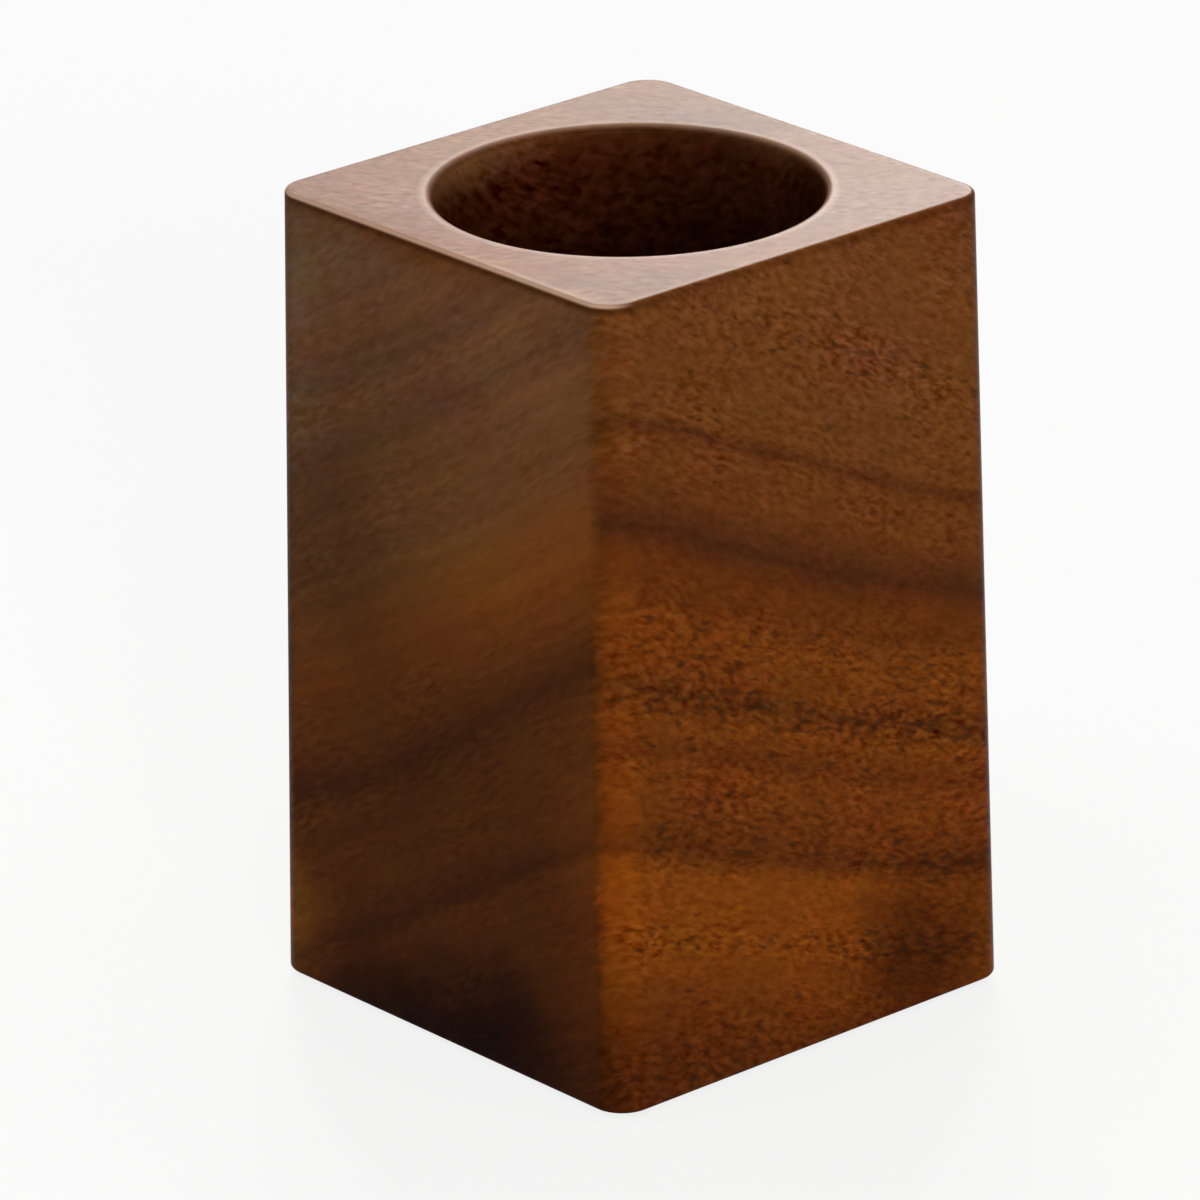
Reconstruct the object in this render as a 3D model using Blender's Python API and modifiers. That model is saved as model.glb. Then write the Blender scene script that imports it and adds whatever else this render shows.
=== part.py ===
# Square hardwood pen cup: a block bored through, a floor disc glued in from below, four rubber feet.
import math

import bmesh
import bpy

# Driving dimensions, in metres
BORE_DIAMETER = 0.0505     # the round space that holds the pens
RIM_WALL = 0.0075          # least wood between the bore and a side, at the rim
SIDE_FLARE = 0.00164       # each side leans out by this much from rim to base
BLOCK_HEIGHT = 0.1094
UPRIGHT_RADIUS = 0.0045    # rounding of the four upright edges
RIM_ROUND = 0.0006         # eased edge round the outside of the rim
BASE_ROUND = 0.0006        # eased edge round the base
MOUTH_ROUND = 0.0012       # eased edge round the mouth of the bore
FLOOR_THICKNESS = 0.0070
FLOOR_LEDGE = 0.0030       # width of the shoulder that the floor disc is glued to
FLOOR_CHAMFER = 0.0004
FOOT_DIAMETER = 0.0090
FOOT_THICKNESS = 0.0020
FOOT_STANDOFF = 0.0006     # how far a foot stands below the base
FOOT_WEB = 0.0017          # wood left between a foot recess and the rebate for the floor disc
FOOT_ROUND = 0.0004
GLUE_GAP = 0.0003          # clearance between glued pieces

# Smoothness
BORE_STEPS = 96
FOOT_STEPS = 32
CORNER_STEPS = 6
EASE_STEPS = 3
MOUTH_STEPS = 5

# Sizes that follow from those above
BORE_RADIUS = BORE_DIAMETER / 2
RIM_WIDTH = BORE_DIAMETER + 2 * RIM_WALL
BASE_WIDTH = RIM_WIDTH + 2 * SIDE_FLARE
BASE_Z = FOOT_STANDOFF
RIM_Z = BASE_Z + BLOCK_HEIGHT
DISC_RADIUS = BORE_RADIUS + FLOOR_LEDGE
REBATE_RADIUS = DISC_RADIUS + GLUE_GAP
FLOOR_Z = BASE_Z + FLOOR_THICKNESS
SHOULDER_Z = FLOOR_Z + GLUE_GAP
FOOT_RADIUS = FOOT_DIAMETER / 2
RECESS_RADIUS = FOOT_RADIUS + GLUE_GAP
RECESS_Z = FOOT_THICKNESS + GLUE_GAP
FOOT_OFFSET = (REBATE_RADIUS + FOOT_WEB + RECESS_RADIUS) / math.sqrt(2)
CUT_OVERRUN = RIM_WALL     # cutters reach this far past the faces they cut


def make_collection(name):
    collection = bpy.data.collections.new(name)
    bpy.context.scene.collection.children.link(collection)
    return collection


def make_material(name, color, roughness):
    material = bpy.data.materials.new(name)
    material.use_nodes = True
    shader = material.node_tree.nodes["Principled BSDF"]
    shader.inputs["Base Color"].default_value = (*color, 1.0)
    shader.inputs["Roughness"].default_value = roughness
    return material


def add_object(name, mesh, collection, parent=None, material=None, location=(0.0, 0.0, 0.0)):
    obj = bpy.data.objects.new(name, mesh)
    obj.location = location
    obj.parent = parent
    if material and not mesh.materials:
        mesh.materials.append(material)
    collection.objects.link(obj)
    return obj


def smooth(mesh, sharp_degrees):
    mesh.shade_smooth()
    mesh.set_sharp_from_angle(angle=math.radians(sharp_degrees))


def block_mesh():
    bm = bmesh.new()
    bmesh.ops.create_cube(bm, size=1.0)
    for vert in bm.verts:
        at_rim = vert.co.z > 0
        vert.co.x *= RIM_WIDTH if at_rim else BASE_WIDTH
        vert.co.y *= RIM_WIDTH if at_rim else BASE_WIDTH
        vert.co.z = RIM_Z if at_rim else BASE_Z
    middle = (BASE_Z + RIM_Z) / 2
    uprights = [e for e in bm.edges if (e.verts[0].co.z > middle) != (e.verts[1].co.z > middle)]
    bevel(bm, uprights, UPRIGHT_RADIUS, CORNER_STEPS)
    bevel(bm, edges_above(bm, middle), RIM_ROUND, EASE_STEPS)
    bevel(bm, edges_below(bm, middle), BASE_ROUND, EASE_STEPS)
    mesh = bpy.data.meshes.new("cup_block")
    bm.to_mesh(mesh)
    bm.free()
    smooth(mesh, 30)
    return mesh


def edges_above(bm, height):
    return [e for e in bm.edges if all(v.co.z > height for v in e.verts)]


def edges_below(bm, height):
    return [e for e in bm.edges if all(v.co.z < height for v in e.verts)]


def bevel(bm, edges, width, segments):
    bmesh.ops.bevel(
        bm,
        geom=edges,
        offset=width,
        offset_type="OFFSET",
        segments=segments,
        profile=0.5,
        affect="EDGES",
        clamp_overlap=True,
    )


def turned(name, profile, collection, **placing):
    # The profile is a chain of (radius, height) points that runs down the outer side, pole to pole.
    mesh = bpy.data.meshes.new(name)
    points = [(radius, 0.0, height) for radius, height in profile]
    chain = [(i, i + 1) for i in range(len(points) - 1)]
    mesh.from_pydata(points, chain, [])
    obj = add_object(name, mesh, collection, **placing)
    screw = obj.modifiers.new("Turn", "SCREW")
    screw.axis = "Z"
    screw.angle = math.tau
    screw.steps = BORE_STEPS
    screw.render_steps = BORE_STEPS
    screw.use_merge_vertices = True
    screw.merge_threshold = 0.00001
    return obj


def bore_profile():
    # Straight bore, opened out at the mouth by a quarter round and stepped out below for the floor disc.
    mouth_radius = BORE_RADIUS + MOUTH_ROUND
    profile = [(0.0, RIM_Z + CUT_OVERRUN), (mouth_radius, RIM_Z + CUT_OVERRUN)]
    for step in range(MOUTH_STEPS + 1):
        turn = math.pi / 2 * (1 + step / MOUTH_STEPS)
        radius = mouth_radius + MOUTH_ROUND * math.cos(turn)
        height = RIM_Z - MOUTH_ROUND + MOUTH_ROUND * math.sin(turn)
        profile.append((radius, height))
    profile.append((BORE_RADIUS, SHOULDER_Z))
    profile.append((REBATE_RADIUS, SHOULDER_Z))
    profile.append((REBATE_RADIUS, BASE_Z - CUT_OVERRUN))
    profile.append((0.0, BASE_Z - CUT_OVERRUN))
    return profile


def disc_profile():
    return [
        (0.0, FLOOR_Z),
        (DISC_RADIUS - FLOOR_CHAMFER, FLOOR_Z),
        (DISC_RADIUS, FLOOR_Z - FLOOR_CHAMFER),
        (DISC_RADIUS, BASE_Z + FLOOR_CHAMFER),
        (DISC_RADIUS - FLOOR_CHAMFER, BASE_Z),
        (0.0, BASE_Z),
    ]


def cylinder_mesh(name, radius, bottom, top, steps):
    bm = bmesh.new()
    bmesh.ops.create_cone(
        bm,
        cap_ends=True,
        segments=steps,
        radius1=radius,
        radius2=radius,
        depth=top - bottom,
    )
    bmesh.ops.translate(bm, verts=bm.verts, vec=(0.0, 0.0, (top + bottom) / 2))
    mesh = bpy.data.meshes.new(name)
    bm.to_mesh(mesh)
    bm.free()
    return mesh


def make_cutter(obj):
    obj.hide_render = True
    obj.display_type = "WIRE"


def build():
    for obj in list(bpy.data.objects):
        bpy.data.objects.remove(obj, do_unlink=True)

    parts = make_collection("pen_cup")
    cutters = make_collection("pen_cup_cutters")

    walnut = make_material("lacquered walnut", (0.115, 0.050, 0.018), 0.38)
    disc_walnut = make_material("sawn walnut disc", (0.090, 0.040, 0.016), 0.50)
    rubber = make_material("black rubber", (0.012, 0.012, 0.012), 0.75)

    cup = add_object("pen_cup", None, parts)
    cup.empty_display_size = 0.02

    make_cutter(turned("bore_cutter", bore_profile(), cutters))
    turned("floor_disc", disc_profile(), parts, parent=cup, material=disc_walnut)

    recess = cylinder_mesh("foot_recess", RECESS_RADIUS, BASE_Z - CUT_OVERRUN, RECESS_Z, FOOT_STEPS)
    foot = cylinder_mesh("foot", FOOT_RADIUS, 0.0, FOOT_THICKNESS, FOOT_STEPS)
    for side, x in (("left", -FOOT_OFFSET), ("right", FOOT_OFFSET)):
        for end, y in (("front", -FOOT_OFFSET), ("rear", FOOT_OFFSET)):
            place = (x, y, 0.0)
            make_cutter(add_object(f"recess_{end}_{side}", recess, cutters, location=place))
            pad = add_object(f"foot_{end}_{side}", foot, parts, cup, rubber, place)
            rounding = pad.modifiers.new("Round", "BEVEL")
            rounding.width = FOOT_ROUND
            rounding.segments = 2
            rounding.limit_method = "ANGLE"
            rounding.angle_limit = math.radians(60)

    block = add_object("cup_block", block_mesh(), parts, cup, walnut)
    cut = block.modifiers.new("Bore and recesses", "BOOLEAN")
    cut.operation = "DIFFERENCE"
    cut.solver = "EXACT"
    cut.operand_type = "COLLECTION"
    cut.collection = cutters


build()
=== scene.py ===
import math

import bpy
import numpy as np
from mathutils import Matrix, Vector


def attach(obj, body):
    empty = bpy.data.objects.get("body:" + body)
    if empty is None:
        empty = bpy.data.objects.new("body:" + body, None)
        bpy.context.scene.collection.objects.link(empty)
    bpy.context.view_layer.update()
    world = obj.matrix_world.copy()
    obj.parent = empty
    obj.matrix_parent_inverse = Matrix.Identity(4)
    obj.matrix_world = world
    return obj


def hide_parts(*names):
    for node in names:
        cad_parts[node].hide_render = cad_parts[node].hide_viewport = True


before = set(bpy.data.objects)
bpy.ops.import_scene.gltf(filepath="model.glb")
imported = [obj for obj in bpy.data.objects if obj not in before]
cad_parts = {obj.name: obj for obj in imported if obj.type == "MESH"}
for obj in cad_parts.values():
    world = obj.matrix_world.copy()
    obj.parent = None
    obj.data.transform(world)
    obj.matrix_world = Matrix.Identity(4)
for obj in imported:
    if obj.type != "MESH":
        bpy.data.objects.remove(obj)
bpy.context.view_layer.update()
print("frame loaded:", sorted(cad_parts))


# tools

def toLinear(hexColour):
    # sRGB hex to the linear colour that the shaders take
    srgb = np.array([int(hexColour[i:i + 2], 16) for i in (1, 3, 5)]) / 255
    low = srgb / 12.92
    high = ((srgb + 0.055) / 1.055) ** 2.4
    return (*np.where(srgb <= 0.04045, low, high).tolist(), 1.0)


def addNode(tree, kind, inputs=None, output=0, stops=None, **settings):
    # one shader node: settings are its properties, inputs are values or sockets to link, stops fill a ramp;
    # it hands back the chosen output socket
    made = tree.nodes.new("ShaderNode" + kind)
    for name, value in settings.items():
        setattr(made, name, value)
    for name, value in (inputs or {}).items():
        if isinstance(value, bpy.types.NodeSocket):
            tree.links.new(value, made.inputs[name])
        else:
            made.inputs[name].default_value = value
    if stops:
        ramp = made.color_ramp.elements
        while len(ramp) < len(stops):
            ramp.new(1.0)
        for element, (place, colour) in zip(ramp, stops):
            element.position = place
            element.color = toLinear(colour) if isinstance(colour, str) else (colour, colour, colour, 1.0)
    return made.outputs[output] if made.outputs else made


def newMaterial(name):
    material = bpy.data.materials.new(name)
    material.use_nodes = True
    material.node_tree.nodes.clear()
    return material, material.node_tree


def gridFaces(rows, columns, loop):
    # quads between neighbouring rows; columns always close on themselves, rows only where loop is set
    row, column = np.meshgrid(np.arange(rows if loop else rows - 1), np.arange(columns), indexing="ij")
    nextRow = (row + 1) % rows
    nextColumn = (column + 1) % columns
    quads = np.stack([row * columns + column, row * columns + nextColumn,
                      nextRow * columns + nextColumn, nextRow * columns + column], axis=-1)
    return quads.reshape(-1, 4).tolist()


def newPiece(name, points, faces, material, sharpDegrees):
    mesh = bpy.data.meshes.new(name)
    mesh.from_pydata(points.reshape(-1, 3).tolist(), [], faces)
    mesh.update()
    mesh.shade_smooth()
    mesh.set_sharp_from_angle(angle=math.radians(sharpDegrees))
    mesh.materials.append(material)
    piece = bpy.data.objects.new(name, mesh)
    bpy.context.scene.collection.objects.link(piece)
    return piece


def turnedPiece(name, profile, centre, shape, material):
    # a profile of (radius, height) rows, from below outwards and up, spun round an upright axis at the
    # centre; each end closes on a pole point with a fan of triangles
    columns = shape["columns"]
    turn = np.linspace(0.0, math.tau, columns, endpoint=False)
    ring = np.stack([np.cos(turn), np.sin(turn)], axis=1)
    flat = profile[:, None, :1] * ring[None] + np.asarray(centre)
    height = np.broadcast_to(profile[:, None, 1:], flat.shape[:2] + (1,))
    points = np.concatenate([flat, height], axis=2).reshape(-1, 3)
    poles = np.array([[*centre, profile[0, 1]], [*centre, profile[-1, 1]]])
    here = np.arange(columns)
    following = (here + 1) % columns
    last = len(points) - columns
    below = np.stack([np.full(columns, len(points)), following, here], axis=1)
    above = np.stack([np.full(columns, len(points) + 1), last + here, last + following], axis=1)
    faces = gridFaces(len(profile), columns, False) + below.tolist() + above.tolist()
    return newPiece(name, np.concatenate([points, poles]), faces, material, shape["sharpDegrees"])


def quarter(steps):
    # sine and cosine of a quarter turn, from 0 to 90 degrees
    turn = np.linspace(0.0, math.pi / 2, steps + 1)
    return np.sin(turn), np.cos(turn)


def cornerNormals(mesh):
    normals = np.empty(len(mesh.loops) * 3, np.float32)
    mesh.corner_normals.foreach_get("vector", normals)
    return normals.reshape(-1, 3)


def cornerPlaces(mesh):
    places = np.empty(len(mesh.vertices) * 3, np.float32)
    mesh.vertices.foreach_get("co", places)
    ofCorner = np.empty(len(mesh.loops), np.int32)
    mesh.loops.foreach_get("vertex_index", ofCorner)
    return places.reshape(-1, 3)[ofCorner]


def addShare(mesh, name, values):
    # a share for each corner of a face, 0 for none and 1 for full, which the material reads by its name
    mesh.attributes.new(name, "FLOAT", "CORNER").data.foreach_set("value", values.astype(np.float32))


def addEndGrain(mesh, turnDegrees):
    # how squarely the surface cuts the fibres at each corner of a face: 0 for long grain, 1 for end grain
    turn = math.radians(turnDegrees)
    fibres = np.array([math.cos(turn), math.sin(turn), 0.0])
    addShare(mesh, "endGrain", np.abs(cornerNormals(mesh) @ fibres))


def dress(piece, node):
    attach(piece, "root")
    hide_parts(node)
    print(piece.name, "for", node, len(piece.data.polygons), "faces")


# camera

photoView = {
    "azimuth": 48.90,          # degrees round from the front
    "elevation": 21.60,
    "roll": -1.02,
    "distance": 1.2481,        # metres from the middle of the block
    "aside": (-0.00463, -0.00205),
    "aim": (0.0, 0.0, 0.0553),
    "lens": 286.6,             # mm on the sensor below
    "sensor": 36.0,
    "clip": (0.05, 50.0),
}


def addCamera():
    azimuth, elevation, roll = (math.radians(photoView[k]) for k in ("azimuth", "elevation", "roll"))
    back = Vector((math.sin(azimuth) * math.cos(elevation), -math.cos(azimuth) * math.cos(elevation),
                   math.sin(elevation)))
    right = Vector((math.cos(azimuth), math.sin(azimuth), 0.0))
    up = back.cross(right)
    axisX = math.cos(roll) * right + math.sin(roll) * up
    axisY = -math.sin(roll) * right + math.cos(roll) * up
    place = Vector(photoView["aim"]) + axisX * photoView["aside"][0] + axisY * photoView["aside"][1]
    place += back * photoView["distance"]
    lens = bpy.data.cameras.new("photoCamera")
    lens.lens = photoView["lens"]
    lens.sensor_width = photoView["sensor"]
    lens.clip_start, lens.clip_end = photoView["clip"]
    camera = bpy.data.objects.new("photoCamera", lens)
    camera.matrix_world = Matrix((axisX, axisY, back)).transposed().to_4x4()
    camera.location = place
    bpy.context.scene.collection.objects.link(camera)
    bpy.context.scene.camera = camera


addCamera()
print("camera set")


# wood

walnutLook = {
    "shares": ("endGrain", "edgeShadeLine", "rimFace", "glintedLips", "boreWall", "boreLitSide"),   # from the mesh; all but endGrain also carry painted light and shade
    "noises": (("mottleMm", 1.2, 0.15), ("poreMm", 0.6, 0.2),
               ("streakMm", 2.0, 0.0), ("boreMm", 0.8, 0.5)),   # each with its detail and distortion
    "noiseTurn": (0.6, 0.5, 0.4),      # radians, so that no face lies flat on a noise's own grid
    "ragged": (("poreMm", 0.3), ("boreMm", 0.4)),
    "endFrom": (0.36, 0.91),           # ragged share at which the look of end grain starts and is full
    "turnPores": 0.65,                 # share of the pores left where an upright edge turns
    "cloudRagged": 0.6,
    "cloudFade": (0.5, 1.5),           # in half sizes from the centre
    "cloudWeights": (0.5, 0.4, 0.1),   # red, green and blue in how light a cloud is
    "crowding": (("figureRamp", 0.4), ("patch", 0.18), ("cloudLight", -0.2), ("rimFace", 0.06)),
    "poreFrom": (0.72, 0.94),          # crowding at which a pore starts and is full
    "poreDepth": (0.16, 0.62),         # how dark pores are on long grain and on end grain
    "rimPores": 0.12,                  # and how much darker on the rim
    "spotDepths": (("ended", (0.0, 1.0), (1.0, 1.9)), ("cloudLight", (0.3, 1.7), (1.6, 0.6)),
                   ("patch", (0.3, 0.7), (0.6, 1.4))),   # what sets the depth, its range, the gain over it
    "boreDepth": 1.2,                  # depth added in the bore
    "calmLit": (0.5, 0.15),           # share of the bore's painted light from which the bore is calm, and the depth left there
    "spotTint": (1.0, 1.45, 2.8),      # light spots go golden, dark ones redder
    "patchTint": (0.2, 0.3, 0.6),      # patches lean to red or to olive, around an even tone
    "patchBase": (0.9, 0.85, 0.7),
    "streakRange": (0.3, 0.7),
    "streakGain": (0.86, 1.055),
    "boreShare": 0.9,                  # how far the bore's painted shade covers the grain
    "lipGlintShare": 0.6,                   # and how far the painted highlight covers the lips
    "filmSide": (0.66, 0.75, 0.0),     # the film is smoother towards this side, as a brushed coat is
    "filmReach": 45.0,                 # mm
    "filmSpots": -0.1,                 # it follows the spots a little
    "porePit": -0.5,
    "bumpStrength": 0.12,
    "bumpDepth": 0.00005,              # metres
    "ior": 1.5,
    "shine": 0.014,                    # the film is thin and rubbed down, so little of it shines
}


def addLayers(tree, wood, grain):
    # layer height in mm: bent x, y and z times the tilt, plus y times z times the fan; ramps over it give the
    # colours of end grain and long grain, and the strength of the figure
    place = addNode(tree, "TexCoord", output="Object")
    turn = -math.radians(wood["turn"])
    mm = addNode(tree, "Mapping", {"Vector": place, "Scale": (1000, 1000, 1000), "Rotation": (0, 0, turn)})
    bent = mm
    for size, by in wood["bends"]:
        wave = addNode(tree, "TexNoise", {"Vector": mm, "Scale": 1 / size, "Detail": 1.0}, "Color")
        wave = addNode(tree, "VectorMath", {0: wave, 1: (0.5, 0.5, 0.5)}, operation="SUBTRACT")
        bent = addNode(tree, "VectorMath", {0: wave, 1: (by, by, by), 2: bent}, operation="MULTIPLY_ADD")
    axes = addNode(tree, "SeparateXYZ", {0: bent}).node.outputs
    layer = addNode(tree, "VectorMath", {0: bent, 1: wood["layerTilt"]}, "Value", operation="DOT_PRODUCT")
    fan = addNode(tree, "Math", {0: axes[1], 1: axes[2]}, operation="MULTIPLY")
    layer = addNode(tree, "Math", {0: fan, 1: wood["layerFan"], 2: layer}, operation="MULTIPLY_ADD")
    low, high = wood["layerRange"]
    along = addNode(tree, "MapRange", {"Value": layer, "From Min": low, "From Max": high})
    for name in ("endGrain", "longGrain", "figure"):
        stops = [((height - low) / (high - low), colour) for height, colour in wood[name]]
        grain[name + "Ramp"] = addNode(tree, "ValToRGB", {0: along}, stops=stops)
    # grain space: x along the fibres, y across them, layer height as the third axis
    space = addNode(tree, "CombineXYZ", {0: axes[0], 1: axes[1], 2: layer})
    for name, detail, twist in walnutLook["noises"]:
        sized = addNode(tree, "Mapping", {"Vector": space, "Scale": [1 / size for size in wood[name]],
                                          "Rotation": walnutLook["noiseTurn"]})
        grain[name] = addNode(tree, "TexNoise", {"Vector": sized, "Scale": 1.0, "Detail": detail,
                                                 "Distortion": twist})
    patches = addNode(tree, "TexNoise", {"Vector": bent, "Scale": 1 / wood["patchMm"], "Detail": 1.0})
    grain["patch"], grain["patchHue"] = patches.node.outputs
    grain["mm"], grain["bent"] = mm, bent


def addEndStart(tree, wood, grain):
    # end grain starts raggedly round the upright edges, where the tone is darkened as painted shade and pores
    # are fewer
    ragged = grain["endGrain"]
    for name, amount in walnutLook["ragged"]:
        ragged = addNode(tree, "Math", {0: grain[name], 1: amount, 2: ragged}, operation="MULTIPLY_ADD")
    start, full = walnutLook["endFrom"]
    grain["ended"] = addNode(tree, "MapRange", {"Value": ragged, "From Min": start, "From Max": full},
                             interpolation_type="SMOOTHSTEP")
    # the share times what it lacks of 1 is greatest, a quarter, at a share of one half
    turning = addNode(tree, "Math", {0: 1.0, 1: grain["endGrain"]}, operation="SUBTRACT")
    turning = addNode(tree, "Math", {0: turning, 1: grain["endGrain"]}, operation="MULTIPLY")
    for name, least in (("turnTone", wood["turnShade"]), ("turnPores", walnutLook["turnPores"])):
        grain[name] = addNode(tree, "MapRange", {"Value": turning, "From Max": 0.25, "To Min": 1.0,
                                                 "To Max": least})


def addClouds(tree, wood, grain):
    # lighter and darker clouds, some of them painted light and shade: strongest at the centre, gone raggedly
    # past the half sizes
    near, far = walnutLook["cloudFade"]
    clouds = (1.0, 1.0, 1.0)
    for centre, half, gain in wood["clouds"]:
        away = addNode(tree, "VectorMath", {0: grain["bent"], 1: centre}, operation="SUBTRACT")
        away = addNode(tree, "VectorMath", {0: away, 1: half}, operation="DIVIDE")
        away = addNode(tree, "VectorMath", {0: away}, "Value", operation="LENGTH")
        away = addNode(tree, "Math", {0: grain["patch"], 1: walnutLook["cloudRagged"], 2: away},
                       operation="MULTIPLY_ADD")
        faded = addNode(tree, "MapRange", {"Value": away, "From Min": near, "From Max": far},
                        interpolation_type="SMOOTHSTEP")
        full = (*np.broadcast_to(gain, 3), 1)
        cloud = addNode(tree, "Mix", {0: faded, 6: full, 7: (1, 1, 1, 1)}, 2, data_type="RGBA")
        clouds = addNode(tree, "VectorMath", {0: cloud, 1: clouds}, operation="MULTIPLY")
    grain["clouds"] = clouds
    grain["cloudLight"] = addNode(tree, "VectorMath", {0: clouds, 1: walnutLook["cloudWeights"]}, "Value",
                                  operation="DOT_PRODUCT")


def addPores(tree, grain):
    # dark pores where the noise runs high: crowded where the figure is strong, in patches, in dark clouds and
    # on the rim, faint on long grain
    crowd = grain["poreMm"]
    for name, amount in walnutLook["crowding"]:
        crowd = addNode(tree, "Math", {0: grain[name], 1: amount, 2: crowd}, operation="MULTIPLY_ADD")
    start, full = walnutLook["poreFrom"]
    grain["pore"] = addNode(tree, "MapRange", {"Value": crowd, "From Min": start, "From Max": full})
    onLong, onEnd = walnutLook["poreDepth"]
    depth = addNode(tree, "MapRange", {"Value": grain["ended"], "To Min": onLong, "To Max": onEnd})
    depth = addNode(tree, "Math", {0: grain["rimFace"], 1: walnutLook["rimPores"], 2: depth},
                    operation="MULTIPLY_ADD")
    for name in ("pore", "turnPores"):
        depth = addNode(tree, "Math", {0: depth, 1: grain[name]}, operation="MULTIPLY")
    grain["poreAmount"] = depth


def addSpots(tree, grain):
    # mottling, strongest on end grain, in dark clouds and in the bore, and calm where the bore has painted
    # light
    depth = grain["figureRamp"]
    for name, (low, high), (atLow, atHigh) in walnutLook["spotDepths"]:
        change = addNode(tree, "MapRange", {"Value": grain[name], "From Min": low, "From Max": high,
                                            "To Min": atLow, "To Max": atHigh})
        depth = addNode(tree, "Math", {0: depth, 1: change}, operation="MULTIPLY")
    depth = addNode(tree, "Math", {0: grain["boreWall"], 1: walnutLook["boreDepth"], 2: depth},
                    operation="MULTIPLY_ADD")
    calmFrom, left = walnutLook["calmLit"]
    calm = addNode(tree, "MapRange", {"Value": grain["boreLitSide"], "From Max": calmFrom, "To Min": 1.0,
                                      "To Max": left})
    depth = addNode(tree, "Math", {0: depth, 1: calm}, operation="MULTIPLY")
    mottle = addNode(tree, "Mix", {0: grain["boreWall"], 2: grain["mottleMm"], 3: grain["boreMm"]})
    mottle = addNode(tree, "Math", {0: mottle, 1: -0.5}, operation="ADD")   # noise runs from 0 to 1
    mottle = addNode(tree, "Math", {0: mottle, 1: depth}, operation="MULTIPLY")
    grain["spots"] = addNode(tree, "VectorMath", {0: mottle, 1: walnutLook["spotTint"], 2: (1, 1, 1)},
                             operation="MULTIPLY_ADD")


def woodTone(tree, wood, grain):
    # the layers' colour, covered in the bore by painted shade and light, times spots, patches, streaks, the
    # rim's painted light, clouds and the painted shade line, with dark pores and painted lip highlights laid
    # over it
    tone = addNode(tree, "Mix", {0: grain["ended"], 6: grain["longGrainRamp"], 7: grain["endGrainRamp"]}, 2,
                   data_type="RGBA")
    bored = addNode(tree, "Math", {0: grain["boreWall"], 1: walnutLook["boreShare"]}, operation="MULTIPLY")
    for amount, colour in zip((bored, grain["boreLitSide"]), wood["boreShadeAndLight"]):
        tone = addNode(tree, "Mix", {0: amount, 6: tone, 7: toLinear(colour)}, 2, data_type="RGBA")
    hue = addNode(tree, "VectorMath", {0: grain["patchHue"], 1: walnutLook["patchTint"],
                                       2: walnutLook["patchBase"]}, operation="MULTIPLY_ADD")
    for change in (grain["spots"], hue):
        tone = addNode(tree, "VectorMath", {0: tone, 1: change}, operation="MULTIPLY")
    low, high = walnutLook["streakRange"]
    dark, light = walnutLook["streakGain"]
    streak = addNode(tree, "MapRange", {"Value": grain["streakMm"], "From Min": low, "From Max": high,
                                        "To Min": dark, "To Max": light})
    rim = addNode(tree, "MapRange", {"Value": grain["rimFace"], "To Min": 1.0, "To Max": wood["rimLightGain"]})
    for change in (streak, rim, grain["turnTone"]):
        tone = addNode(tree, "VectorMath", {0: tone, "Scale": change}, operation="SCALE")
    stain = addNode(tree, "Mix", {0: grain["edgeShadeLine"], 6: (1, 1, 1, 1), 7: (*wood["edgeShade"], 1)}, 2,
                    data_type="RGBA")
    for change in (grain["clouds"], stain):
        tone = addNode(tree, "VectorMath", {0: tone, 1: change}, operation="MULTIPLY")
    lipGlint = addNode(tree, "Math", {0: grain["glintedLips"], 1: walnutLook["lipGlintShare"]}, operation="MULTIPLY")
    for amount, colour in ((grain["poreAmount"], wood["poreColour"]), (lipGlint, wood["lipGlintColour"])):
        tone = addNode(tree, "Mix", {0: amount, 6: tone, 7: toLinear(colour)}, 2, data_type="RGBA")
    return tone


def walnut(wood):
    # Walnut is brown heartwood in soft tilted layers. Cut across the fibres it is flecked, golden between
    # dark pores; cut along them it is smoother and cloudy. Satin lacquer lies over it as a thin even film.
    # The flecks are drawn several times as coarse as real pores, so that they show at this size.
    # its colour also carries painted light and shade: on the rim, its lips and edges, in the bore and in some
    # clouds
    material, tree = newMaterial(wood["name"])
    grain = {name: addNode(tree, "Attribute", output="Fac", attribute_name=name)
             for name in walnutLook["shares"]}
    addLayers(tree, wood, grain)
    addEndStart(tree, wood, grain)
    addClouds(tree, wood, grain)
    addPores(tree, grain)
    addSpots(tree, grain)
    tone = woodTone(tree, wood, grain)
    side = addNode(tree, "VectorMath", {0: grain["mm"], 1: walnutLook["filmSide"]}, "Value",
                   operation="DOT_PRODUCT")
    rough, smooth = wood["roughness"]
    film = addNode(tree, "MapRange", {"Value": side, "From Min": -walnutLook["filmReach"],
                                      "From Max": walnutLook["filmReach"], "To Min": rough, "To Max": smooth})
    roughness = addNode(tree, "Math", {0: grain["mottleMm"], 1: walnutLook["filmSpots"], 2: film},
                        operation="MULTIPLY_ADD")
    relief = addNode(tree, "Math", {0: grain["pore"], 1: walnutLook["porePit"], 2: grain["mottleMm"]},
                     operation="MULTIPLY_ADD")
    bump = addNode(tree, "Bump", {"Height": relief, "Strength": walnutLook["bumpStrength"],
                                  "Distance": walnutLook["bumpDepth"]})
    shader = addNode(tree, "BsdfPrincipled", {"Base Color": tone, "Roughness": roughness, "Normal": bump,
                                              "IOR": walnutLook["ior"],
                                              "Specular IOR Level": walnutLook["shine"]})
    addNode(tree, "OutputMaterial", {"Surface": shader})
    return material


# block

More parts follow.
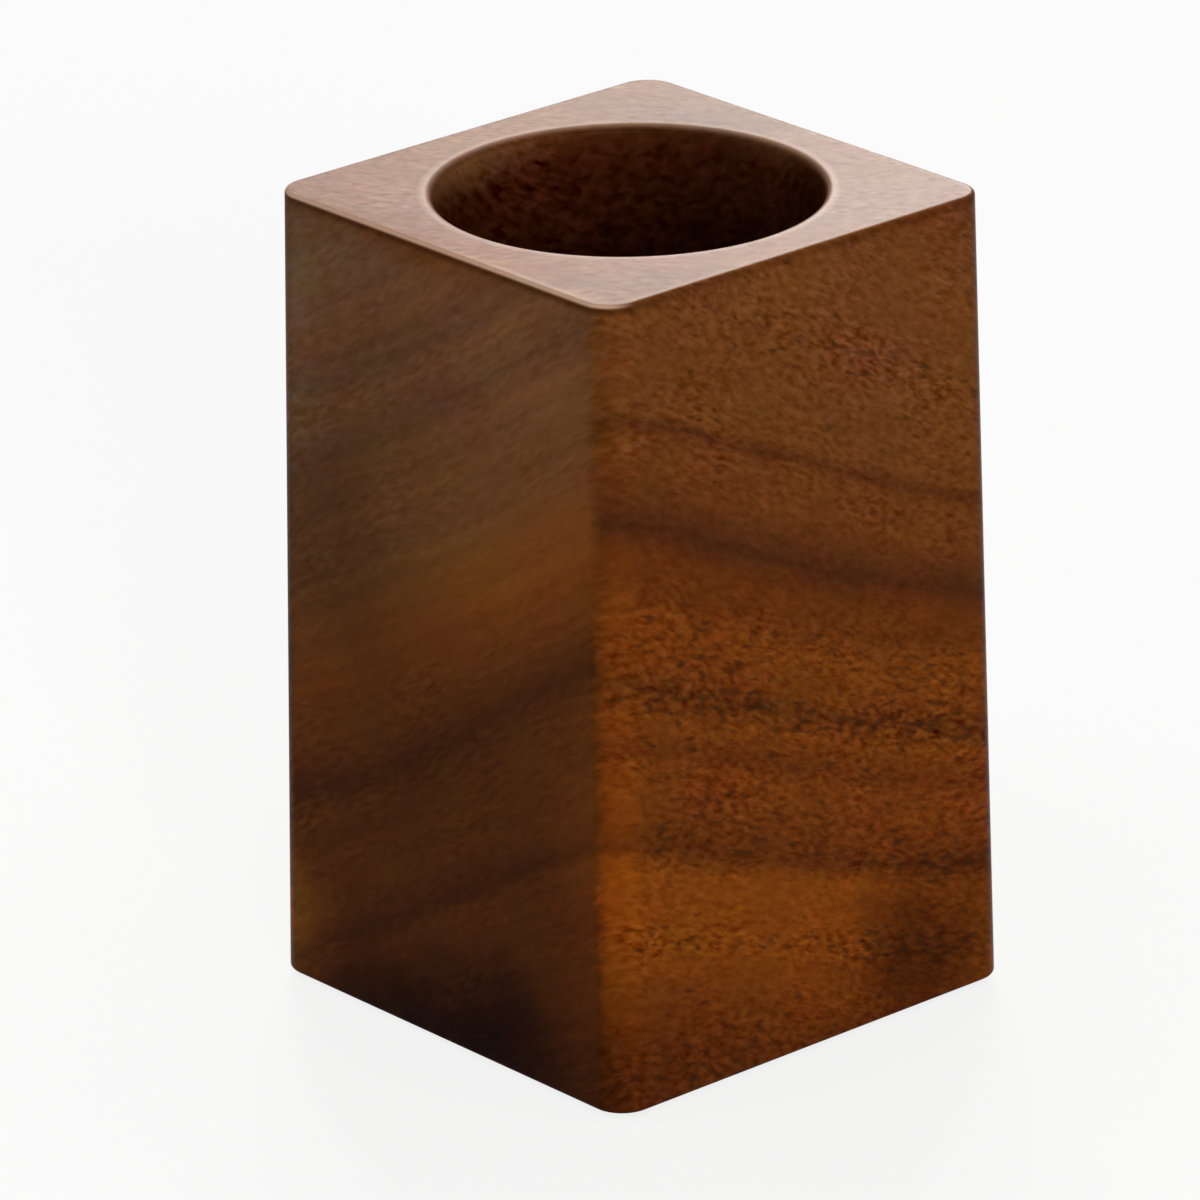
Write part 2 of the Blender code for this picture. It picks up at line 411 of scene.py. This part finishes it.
blockWalnut = {
    "name": "walnut, solid, sanded and satin lacquered",
    "turn": 0.0,                          # degrees that the fibres are turned round z, away from x
    "layerTilt": (-0.55, 0.30, 1.0),      # growth layers: constant z - 0.55 x + 0.30 y + 0.0018 y z, in mm
    "layerFan": 0.0018,                   # so they tilt more towards the rim
    "layerRange": (-45.0, 155.0),         # mm of layer height that the ramps span
    "bends": ((38.0, 4.5), (7.0, 1.0)),   # mm: size of the waves in the layers, and how far they move them
    "mottleMm": (2.0, 1.45, 0.8),         # spots: along the fibres, across them, through the layers
    "poreMm": (2.4, 1.8, 0.8),
    "streakMm": (50.0, 5.0, 1.6),
    "boreMm": (1.8, 1.8, 1.25),           # torn spots in the bore
    "patchMm": 11.0,                      # areas with more or fewer pores
    # colours by layer height in mm
    "endGrain": [(-40, "#4a2008"), (-22, "#522408"), (-17, "#5b2908"), (-11, "#68320a"), (-5, "#73390a"),
                 (5.2, "#73390a"), (8.2, "#542608"), (11, "#5e2b09"), (18, "#69320a"), (21, "#5c2a09"),
                 (25, "#6b340b"), (28.5, "#582a09"), (31, "#66310a"), (37, "#6a340a"), (41, "#5d2c0a"),
                 (45, "#5b2b0a"), (49, "#45210c"), (55.5, "#603210"), (61, "#613412"), (62.8, "#50270d"),
                 (64.6, "#623514"), (92, "#663919"), (120, "#5a2f13")],
    # long grain: partly the figure, partly painted light and shade, lighter and greyer towards the rim and
    # darker towards the base
    "longGrain": [(-40, "#421c05"), (2, "#442006"), (6.5, "#462207"), (9.5, "#391905"), (13, "#442107"),
                  (26, "#442207"), (31, "#381a06"), (35.5, "#482408"), (44, "#592d0b"), (52, "#5c3412"),
                  (58, "#573519"), (71, "#57361c"), (75, "#50321e"), (79, "#593820"), (84, "#523520"),
                  (88, "#5c3921"), (101, "#5a3e2b"), (115, "#58381f")],
    # strength of the flecks by layer height, 0 for smooth wood
    "figure": [(-20, 0.75), (-10, 0.42), (-7.5, 0.4), (-4, 0.86), (-1, 0.4), (4, 0.36), (8, 0.74),
               (14, 0.65), (24, 0.62), (27.5, 0.98), (29.5, 1.0), (31, 0.68), (39, 0.66), (45, 0.33),
               (52, 0.3), (57, 0.48), (65, 0.54), (75, 0.5), (80, 0.7), (85, 0.5)],
    "poreColour": "#2c1606",
    # clouds, mm: centre, half sizes, gain in tone or in red, green and blue; those marked are painted light
    # and shade
    "clouds": (((24, -35, 74), (36, 6, 44), 1.4), ((-22, -35, 62), (22, 6, 22), 0.72),
               ((14, -35, 102), (28, 6, 14), 1.25), ((33, -35, 34), (13, 6, 26), (1.55, 1.5, 1.3)),
               ((-33, -35, 8), (12, 6, 14), (2.0, 2.6, 2.5)),
               # painted shade: these three darken the left side along its foot
               ((5, -35, 1), (28, 8, 14), (0.17, 0.08, 0.03)),
               ((9, -35, 9), (11, 6, 9), 0.66), ((-18, -35, 0), (16, 7, 7), 0.45),
               # painted reflection: a cool pale sheen high on the left side
               ((-34, -35, 86), (13, 6, 30), (1.12, 1.4, 1.65)),
               ((36, 19, 9), (7, 17, 15), (0.38, 0.33, 0.32)),
               # painted light: the first cloud on the next line lightens the bore's wall below the mouth
               ((-17, -19, 96), (9, 9, 12), 1.4), ((-12, 23, 112), (18, 10, 6), 0.75),
               ((-6, -31, 110), (26, 8, 5), (0.9, 0.65, 0.3))),
    "boreShadeAndLight": ("#421a09", "#94643e"),   # painted shade on the bore's wall, and painted light on one side of it
    "rimLightGain": 3.35,                      # painted light and sheen: the rim's flat top is this many times as light as the sides
    "lipGlintColour": "#cfae98",               # painted highlight on the lips of the rim
    "edgeShade": (0.55, 0.46, 0.25),      # painted shade just below the eased outer edges
    "turnShade": 0.7,                     # painted shade where the upright edges turn to end grain
    "roughness": (0.43, 0.275),           # on the two sides of the brushed film
}

cupBlock = {
    "boreRadius": 0.02525,
    "rimHalf": 0.03275,
    "flare": 0.00164,           # each side stands out this much more at the base
    "baseZ": 0.0006,
    "rimZ": 0.1100,
    "uprightRadius": 0.0045,
    "rimRound": 0.0006,
    "baseRound": 0.0006,
    "mouthRound": 0.0012,
    "shoulderZ": 0.0079,        # underside of the bore wall, above the floor disc
    "rebateRadius": 0.02855,
    "recessRadius": 0.0048,
    "recessZ": 0.0023,
    "recessFrom": -0.002,       # the cut starts this low, clear of the base
    "footOffset": 0.024784,     # from the middle to a foot, along x and along y
    "lipWidth": 0.0010,         # the painted highlights on the rim's lips reach this far in from its rounded edges
    "shadeBand": (0.0002, 0.0005, 0.0009, 0.0016),   # below the rim: the painted shade line starts, is full, is full, ends
    "sideSteps": 28,            # columns on a side and round an upright edge
    "cornerSteps": 18,
    "easeSteps": 6,             # rows round an eased edge
    "rowCounts": {"base": 7, "side": 30, "stain": 3, "rim": 9, "bore": 40, "shoulder": 4, "rebate": 5},
    "recessSteps": 64,
    "sharpDegrees": 40,
}

# painted light and shade in the block's colour: the shade line below the rim, highlights on the lips, the
# rim's light, the bore's shade and its lit side
blockPaintedLight = {
    "frontTurn": 0.75,             # how much a corner has to face -Y to count fully as the front left side
    "shadeElsewhere": 0.6,         # strength of the painted shade line on the other sides
    "lipUp": (0.25, 0.95),         # how far the mouth's lip faces up, 0 to 1, where the painted highlight starts and is full
    "sideBearing": (0.9, -0.4),    # the outer lip's painted highlight lies towards this bearing
    "sideReach": 0.03,             # fully so this far out along it
    "sideUp": (0.85, 0.95),        # and where it faces up by this much
    "glintUp": (0.2, 0.6, 0.94, 1.0),   # facing up on the front left edge's painted highlight: starts, is full, is full, ends
    "glintReach": 1.1,            # in rim roundings in from the outside
    "glintLip": 1.15,             # the front left edge's painted highlight is a little more than full
    "glintRim": 0.9,              # and has most of the rim's painted light
    "rimFade": 5,                  # power by which the rim's painted light fades over its rounded edges
    "darkBelow": 0.0025,           # the bore has its full painted shade this far below the rim
    "wallStep": 0.0002,            # the wall starts this far inside the mouth's outer edge
    "litSide": (-0.87, -0.49),    # bearing of the side of the bore that has painted light
    "litFrom": 0.2,               # how much a place has to lie that way to get painted light at all
    "litDepth": 0.007,            # it is gone this far below the rim
    "litPowers": (4, 2),          # how fast it fades round the bore and down it
}


def squareRing(block):
    # a rounded square as core * (half - radius) + normal * radius, listed anticlockwise from +X
    turn = np.linspace(0.0, math.pi / 2, block["cornerSteps"] + 1)
    along = np.linspace(1.0, -1.0, block["sideSteps"] + 1)[1:-1]
    core = np.concatenate([np.ones((len(turn), 2)), np.stack([along, np.ones_like(along)], axis=1)])
    normal = np.concatenate([np.stack([np.cos(turn), np.sin(turn)], axis=1),
                             np.tile([0.0, 1.0], (len(along), 1))])
    spin = np.array([[0.0, 1.0], [-1.0, 0.0]])
    turns = [np.linalg.matrix_power(spin, k) for k in range(4)]
    return np.concatenate([core @ t for t in turns]), np.concatenate([normal @ t for t in turns])


def blockRows(block):
    # each row is (share of circle, half width, corner radius, circle radius, height), and the rows run base,
    # side, rim, mouth, bore, shoulder, rebate
    sine, cosine = quarter(block["easeSteps"])
    rimZ, baseZ, bore, rebate = (block[k] for k in ("rimZ", "baseZ", "boreRadius", "rebateRadius"))
    rim, base, mouth = (block[k] for k in ("rimRound", "baseRound", "mouthRound"))
    lip, shoulderZ = block["lipWidth"], block["shoulderZ"]
    shadeTop, shadeEnd = block["shadeBand"][2:]
    counts = block["rowCounts"]
    rows = []

    def addRows(share, inset, radius, z):
        values = (np.asarray(v, float) for v in (share, inset, radius, z))
        share, inset, radius, z = np.broadcast_arrays(*values)
        half = block["rimHalf"] + block["flare"] * (rimZ - z) / (rimZ - baseZ)
        rows.append(np.stack([share, half - inset, block["uprightRadius"] - inset, radius, z], axis=1))

    addRows(np.linspace(1, 0, counts["base"])[:-1], base, rebate, baseZ)
    addRows(0, base * (1 - sine), rebate, baseZ + base * (1 - cosine))
    addRows(0, 0, bore, np.linspace(baseZ + base, rimZ - shadeEnd, counts["side"])[1:])
    addRows(0, 0, bore, rimZ - np.linspace(shadeEnd, shadeTop, counts["stain"])[1:])
    addRows(0, rim * (1 - cosine), bore, rimZ - rim + rim * sine)
    addRows(np.linspace(0, 1, counts["rim"]), rim + lip, bore + mouth + lip, rimZ)
    addRows(1, 0, bore + mouth * (1 - sine), rimZ - mouth + mouth * cosine)
    addRows(1, 0, bore, np.linspace(rimZ - mouth, shoulderZ, counts["bore"])[1:])
    addRows(1, 0, np.linspace(bore, rebate, counts["shoulder"])[1:], shoulderZ)
    addRows(1, 0, rebate, np.linspace(shoulderZ, baseZ, counts["rebate"])[1:-1])
    return np.concatenate(rows)


def blockSurface(block):
    # the rounded square and the circle at the same bearing, mixed by each row's share of circle
    rows = blockRows(block)[:, :, None]
    corner = block["uprightRadius"]
    core, normal = squareRing(block)
    bearing = core * (block["rimHalf"] - corner) + normal * corner
    bearing /= np.linalg.norm(bearing, axis=1, keepdims=True)
    share, half, radius, circle, z = (rows[:, k:k + 1] for k in range(5))
    square = core[None] * (half - radius) + normal[None] * radius
    flat = (1 - share) * square + share * circle * bearing[None]
    return np.concatenate([flat, np.broadcast_to(z, flat.shape[:2] + (1,))], axis=2)


def cutRecesses(piece, block):
    # four shallow round recesses for the feet, cut from below
    steps, sharp = block["recessSteps"], block["sharpDegrees"]
    turn = np.linspace(0.0, math.tau, steps, endpoint=False)
    ring = np.stack([np.cos(turn), np.sin(turn)], axis=1) * block["recessRadius"]
    caps = [list(range(steps))[::-1], list(range(steps, 2 * steps))]
    levels = (block["recessFrom"], block["recessZ"])
    cutters = []
    for signs in ((-1, -1), (1, -1), (-1, 1), (1, 1)):
        flat = ring + np.array(signs) * block["footOffset"]
        wall = np.stack([np.column_stack([flat, np.full(steps, z)]) for z in levels])
        faces = gridFaces(len(levels), steps, False) + caps
        cutter = newPiece("recessCutter", wall, faces, piece.data.materials[0], sharp)
        trim = piece.modifiers.new("recess", "BOOLEAN")
        trim.operation = "DIFFERENCE"
        trim.solver = "EXACT"
        trim.object = cutter
        cutters.append(cutter)
    cutMesh = bpy.data.meshes.new_from_object(piece.evaluated_get(bpy.context.evaluated_depsgraph_get()))
    piece.modifiers.clear()
    piece.data = cutMesh
    for cutter in cutters:
        bpy.data.objects.remove(cutter)
    cutMesh.shade_smooth()
    cutMesh.set_sharp_from_angle(angle=math.radians(sharp))


def markRim(mesh, block, painted):
    # shares for the painted shade line, the painted highlights on the lips and the rim's painted light, from
    # how each corner lies and faces
    places, normals = cornerPlaces(mesh), cornerNormals(mesh)
    up = np.clip(normals[:, 2], 0, 1)
    level = np.maximum(np.linalg.norm(normals[:, :2], axis=1), 1e-6)
    front = np.clip(normals[:, 1] / level / -painted["frontTurn"], 0, 1)
    reach = np.linalg.norm(places[:, :2], axis=1)
    mouth = block["boreRadius"] + block["mouthRound"]
    # distance in from the outside of the rim, a rounded square
    over = np.abs(places[:, :2]) - (block["rimHalf"] - block["uprightRadius"])
    inset = block["uprightRadius"] - np.linalg.norm(np.maximum(over, 0), axis=1)
    inset -= np.minimum(over.max(axis=1), 0)
    # painted shade: a dark line below the eased outer edge, strongest on the front left side
    shaded = np.interp(block["rimZ"] - places[:, 2], block["shadeBand"], (0, 1, 1, 0))
    shaded *= painted["shadeElsewhere"] + (1 - painted["shadeElsewhere"]) * front
    addShare(mesh, "edgeShadeLine", shaded * (reach > mouth))
    # painted highlight on the level ground next to the rounded edges, and on the upper part of their
    # rounding: all round the mouth, outside only towards one bearing
    lipGlint = np.clip(1 - np.abs(reach - mouth) / block["lipWidth"], 0, 1) * np.interp(up, painted["lipUp"], (0, 1))
    sideGlint = np.clip(1 - np.abs(inset - block["rimRound"]) / block["lipWidth"], 0, 1)
    sideGlint *= np.clip(places[:, :2] @ np.array(painted["sideBearing"]) / painted["sideReach"], 0, 1)
    sideGlint *= np.interp(up, painted["sideUp"], (0, 1))
    # painted highlight over most of the rounding of the front left edge
    edgeGlint = front * np.interp(up, painted["glintUp"], (0, 1, 1, 0))
    edgeGlint *= inset < painted["glintReach"] * block["rimRound"]
    addShare(mesh, "glintedLips", np.maximum(np.maximum(lipGlint, sideGlint), painted["glintLip"] * edgeGlint))
    # the rim's flat top, fading over its rounded edges, which carries the rim's painted light
    addShare(mesh, "rimFace", np.maximum(up ** painted["rimFade"], painted["glintRim"] * edgeGlint))


def markBore(mesh, block, painted):
    # shares for the wall of the bore, 0 at the rim and 1 from some depth on, for its painted shade, and for
    # the painted light on one side, strongest towards one bearing and just below the mouth's rounding
    places = cornerPlaces(mesh)
    up = np.clip(cornerNormals(mesh)[:, 2], 0, 1)
    sunk = block["rimZ"] - places[:, 2]
    wallReach = block["boreRadius"] + block["mouthRound"] - painted["wallStep"]
    wall = np.linalg.norm(places[:, :2], axis=1) < wallReach
    addShare(mesh, "boreWall", np.clip(sunk / painted["darkBelow"], 0, 1) * wall)
    facing = places[:, :2] @ np.array(painted["litSide"]) / block["boreRadius"]
    facing = np.clip((facing - painted["litFrom"]) / (1 - painted["litFrom"]), 0, 1)
    litShare = np.clip(1 - sunk / painted["litDepth"], 0, 1) * (1 - up)
    roundPower, downPower = painted["litPowers"]
    addShare(mesh, "boreLitSide", facing ** roundPower * litShare ** downPower * wall)


def addBlock():
    points = blockSurface(cupBlock)
    faces = gridFaces(*points.shape[:2], True)
    block = newPiece("walnutBlock", points, faces, walnut(blockWalnut), cupBlock["sharpDegrees"])
    cutRecesses(block, cupBlock)
    addEndGrain(block.data, blockWalnut["turn"])
    markRim(block.data, cupBlock, blockPaintedLight)
    markBore(block.data, cupBlock, blockPaintedLight)
    dress(block, "cup_block")


addBlock()


# floor disc

discWalnut = {
    "name": "walnut, sawn board, turned to a disc and lacquered",
    "turn": 35.0,
    "layerTilt": (0.04, 0.8, 1.0),
    "layerFan": 0.0,
    "layerRange": (-40.0, 40.0),
    "bends": ((30.0, 4.0), (7.0, 0.8)),
    "mottleMm": (2.6, 1.5, 1.2),
    "poreMm": (7.0, 1.6, 0.75),
    "streakMm": (50.0, 4.0, 1.6),
    "boreMm": (1.8, 1.8, 1.25),
    "patchMm": 9.0,
    "endGrain": [(-30, "#3f2410"), (0, "#4c2c16"), (30, "#3c220f")],
    "longGrain": [(-30, "#4a2b16"), (-14, "#54321b"), (-9, "#3f2411"), (-3, "#52301a"), (7, "#4a2a15"),
                  (11, "#3a200e"), (15, "#503019"), (30, "#472913")],
    "figure": [(-30, 0.7), (-9, 1.0), (-3, 0.6), (11, 1.0), (30, 0.7)],
    "poreColour": "#27160a",
    "clouds": (),
    # the disc has no bore wall, rim, painted lip highlight or shade line, so the next four don't show
    "boreShadeAndLight": ("#300e04", "#300e04"),
    "rimLightGain": 1.0,
    "lipGlintColour": "#cfae98",
    "edgeShade": (1.0, 1.0, 1.0),
    "turnShade": 1.0,
    "roughness": (0.45, 0.40),
}

floorDisc = {
    "radius": 0.02825,
    "bottomZ": 0.0006,
    "topZ": 0.0076,
    "edgeRound": 0.0004,
    "hubShare": 0.05,           # innermost ring, as a share of the flat
    "spokeSteps": 12,
    "easeSteps": 4,
    "columns": 128,
    "sharpDegrees": 50,
}


def discProfile(disc):
    # underside outwards, a quarter round, the edge, a quarter round, and the top inwards
    sine, cosine = quarter(disc["easeSteps"])
    outer, ease = disc["radius"] - disc["edgeRound"], disc["edgeRound"]
    spokes = np.linspace(disc["hubShare"], 1.0, disc["spokeSteps"])[:-1] * outer
    below = np.column_stack([spokes, np.full_like(spokes, disc["bottomZ"])])
    lower = np.column_stack([outer + ease * sine, disc["bottomZ"] + ease * (1 - cosine)])
    upper = np.column_stack([outer + ease * cosine, disc["topZ"] - ease * (1 - sine)])
    above = np.column_stack([spokes[::-1], np.full_like(spokes, disc["topZ"])])
    return np.concatenate([below, lower, upper, above])


def addDisc():
    disc = turnedPiece("walnutFloor", discProfile(floorDisc), (0.0, 0.0), floorDisc, walnut(discWalnut))
    addEndGrain(disc.data, discWalnut["turn"])
    dress(disc, "floor_disc")


addDisc()


# feet

rubberFoot = {
    "radius": 0.0045,
    "height": 0.0020,
    "edgeRound": 0.0004,
    "hubRadius": 0.0004,        # innermost ring
    "grooveRadius": 0.0030,     # a moulded ring on the underside
    "grooveHalf": 0.0003,
    "grooveDepth": 0.00012,
    "grooveLand": 0.0001,       # level strip kept on both sides of the groove
    "ringSteps": (5, 13, 4),    # rings inside the groove, in it and outside it
    "topSteps": 5,
    "easeSteps": 5,
    "columns": 72,
    "sharpDegrees": 50,
    "colours": ((0.5, "#181818"), (0.9, "#262625")),
    "gritMm": 0.35,
    "gritDetail": 2.0,
    "gritShare": 0.4,           # how far the grit shows in the colour
    "scuffMm": 3.0,
    "scuffDetail": 3.0,
    "scuffRange": (0.3, 0.7),   # of the scuff noise, for the two values of roughness
    "roughness": (0.68, 0.82),
    "bumpStrength": 0.3,
    "bumpDepth": 0.00004,
    "ior": 1.52,
}


def mouldedRubber(foot):
    # Black rubber pressed in a mould: matt, with a fine grit from the tool, and greyer where it has rubbed.
    # Real grit is about 0.05 mm, and it is drawn coarser so that it shows.
    material, tree = newMaterial("black rubber, compression moulded")
    place = addNode(tree, "TexCoord", output="Object")
    grit, scuff = (addNode(tree, "TexNoise", {"Vector": place, "Scale": 1000 / foot[name + "Mm"],
                                              "Detail": foot[name + "Detail"]}) for name in ("grit", "scuff"))
    both = addNode(tree, "Math", {0: grit, 1: foot["gritShare"], 2: scuff}, operation="MULTIPLY_ADD")
    colour = addNode(tree, "ValToRGB", {0: both}, stops=foot["colours"])
    low, high = foot["scuffRange"]
    least, most = foot["roughness"]
    roughness = addNode(tree, "MapRange", {"Value": scuff, "From Min": low, "From Max": high,
                                           "To Min": least, "To Max": most})
    bump = addNode(tree, "Bump", {"Height": grit, "Strength": foot["bumpStrength"],
                                  "Distance": foot["bumpDepth"]})
    shader = addNode(tree, "BsdfPrincipled", {"Base Color": colour, "Roughness": roughness,
                                              "IOR": foot["ior"], "Normal": bump})
    addNode(tree, "OutputMaterial", {"Surface": shader})
    return material


def footProfile(foot):
    # underside outwards with a groove of one cosine wave, a quarter round, the side, a quarter round, the top
    sine, cosine = quarter(foot["easeSteps"])
    outer, ease = foot["radius"] - foot["edgeRound"], foot["edgeRound"]
    middle, half, land, hub = (foot[k] for k in ("grooveRadius", "grooveHalf", "grooveLand", "hubRadius"))
    inside, within, outside = foot["ringSteps"]
    reach = np.concatenate([np.linspace(hub, middle - half - land, inside),
                            np.linspace(middle - half, middle + half, within),
                            np.linspace(middle + half + land, outer, outside)[:-1]])
    wave = np.clip(np.abs(reach - middle) / half, 0, 1)
    below = np.column_stack([reach, foot["grooveDepth"] * (1 + np.cos(math.pi * wave)) / 2])
    lower = np.column_stack([outer + ease * sine, ease * (1 - cosine)])
    upper = np.column_stack([outer + ease * cosine, foot["height"] - ease * (1 - sine)])
    inwards = np.linspace(outer, hub, foot["topSteps"])[1:]
    above = np.column_stack([inwards, np.full_like(inwards, foot["height"])])
    return np.concatenate([below, lower, upper, above])


def addFeet():
    material = mouldedRubber(rubberFoot)
    profile = footProfile(rubberFoot)
    offset = cupBlock["footOffset"]
    for end, y in (("front", -offset), ("rear", offset)):
        for side, x in (("left", -offset), ("right", offset)):
            foot = turnedPiece(f"rubberFoot.{end}.{side}", profile, (x, y), rubberFoot, material)
            dress(foot, f"foot_{end}_{side}")


addFeet()


# stage and light

studio = {
    "floorColour": "#fafaf9",
    "floorShare": 0.18,        # how much of the seen floor is lit paper; the rest is plain white
    "floorHalf": 5.0,          # metres
    "floorDrop": 0.00005,      # the paper lies this far below the feet
    "sharpDegrees": 30,
    "fill": 0.5,               # sky light on diffuse surfaces
    "keyFrom": (0.87, -0.46, 0.18),
    "keyPower": 1.75,
    "keySoft": 24.0,           # degrees across
    "backFrom": (-0.70, 0.61, 0.40),
    "backPower": 1.9,
    "backSoft": 24.0,
}


def addSun(name):
    lamp = bpy.data.lights.new(name + "Light", "SUN")
    lamp.energy = studio[name + "Power"]
    lamp.angle = math.radians(studio[name + "Soft"])
    sun = bpy.data.objects.new(name + "Light", lamp)
    sun.rotation_euler = Vector(studio[name + "From"]).to_track_quat("Z", "Y").to_euler()
    bpy.context.scene.collection.objects.link(sun)


def addSeen(tree):
    # 1 for rays from the camera, also by way of a reflection or through glass; 0 for light on its way
    rays = addNode(tree, "LightPath").node.outputs
    seen = rays["Is Camera Ray"]
    for name in ("Is Glossy Ray", "Is Transmission Ray"):
        seen = addNode(tree, "Math", {0: seen, 1: rays[name]}, operation="MAXIMUM")
    return seen


def addFloor():
    # Matt paper gives an even white, and keeps a faint shadow of the cup.
    material, tree = newMaterial("matt white paper floor")
    paper = addNode(tree, "BsdfDiffuse", {"Color": toLinear(studio["floorColour"])})
    white = addNode(tree, "Emission", {"Color": (1, 1, 1, 1), "Strength": 1.0})
    share = addNode(tree, "Math", {0: addSeen(tree), 1: 1 - studio["floorShare"]}, operation="MULTIPLY")
    mixed = addNode(tree, "MixShader", {0: share, 1: paper, 2: white})
    addNode(tree, "OutputMaterial", {"Surface": mixed})
    half, drop = studio["floorHalf"], studio["floorDrop"]
    corners = np.array([[x * half, y * half, -drop] for x, y in ((-1, -1), (1, -1), (1, 1), (-1, 1))])
    floor = newPiece("paperFloor", corners, [[0, 1, 2, 3]], material, studio["sharpDegrees"])


def addSky():
    world = bpy.data.worlds.new("whiteStudio")
    world.use_nodes = True
    tree = world.node_tree
    tree.nodes.clear()
    level = addNode(tree, "MapRange", {"Value": addSeen(tree), "To Min": studio["fill"], "To Max": 1.0})
    sky = addNode(tree, "Background", {"Color": (1, 1, 1, 1), "Strength": level})
    addNode(tree, "OutputWorld", {"Surface": sky})
    bpy.context.scene.world = world


addFloor()
addSun("key")
addSun("back")
addSky()
bpy.context.scene.view_settings.view_transform = "Standard"
print("studio ready")
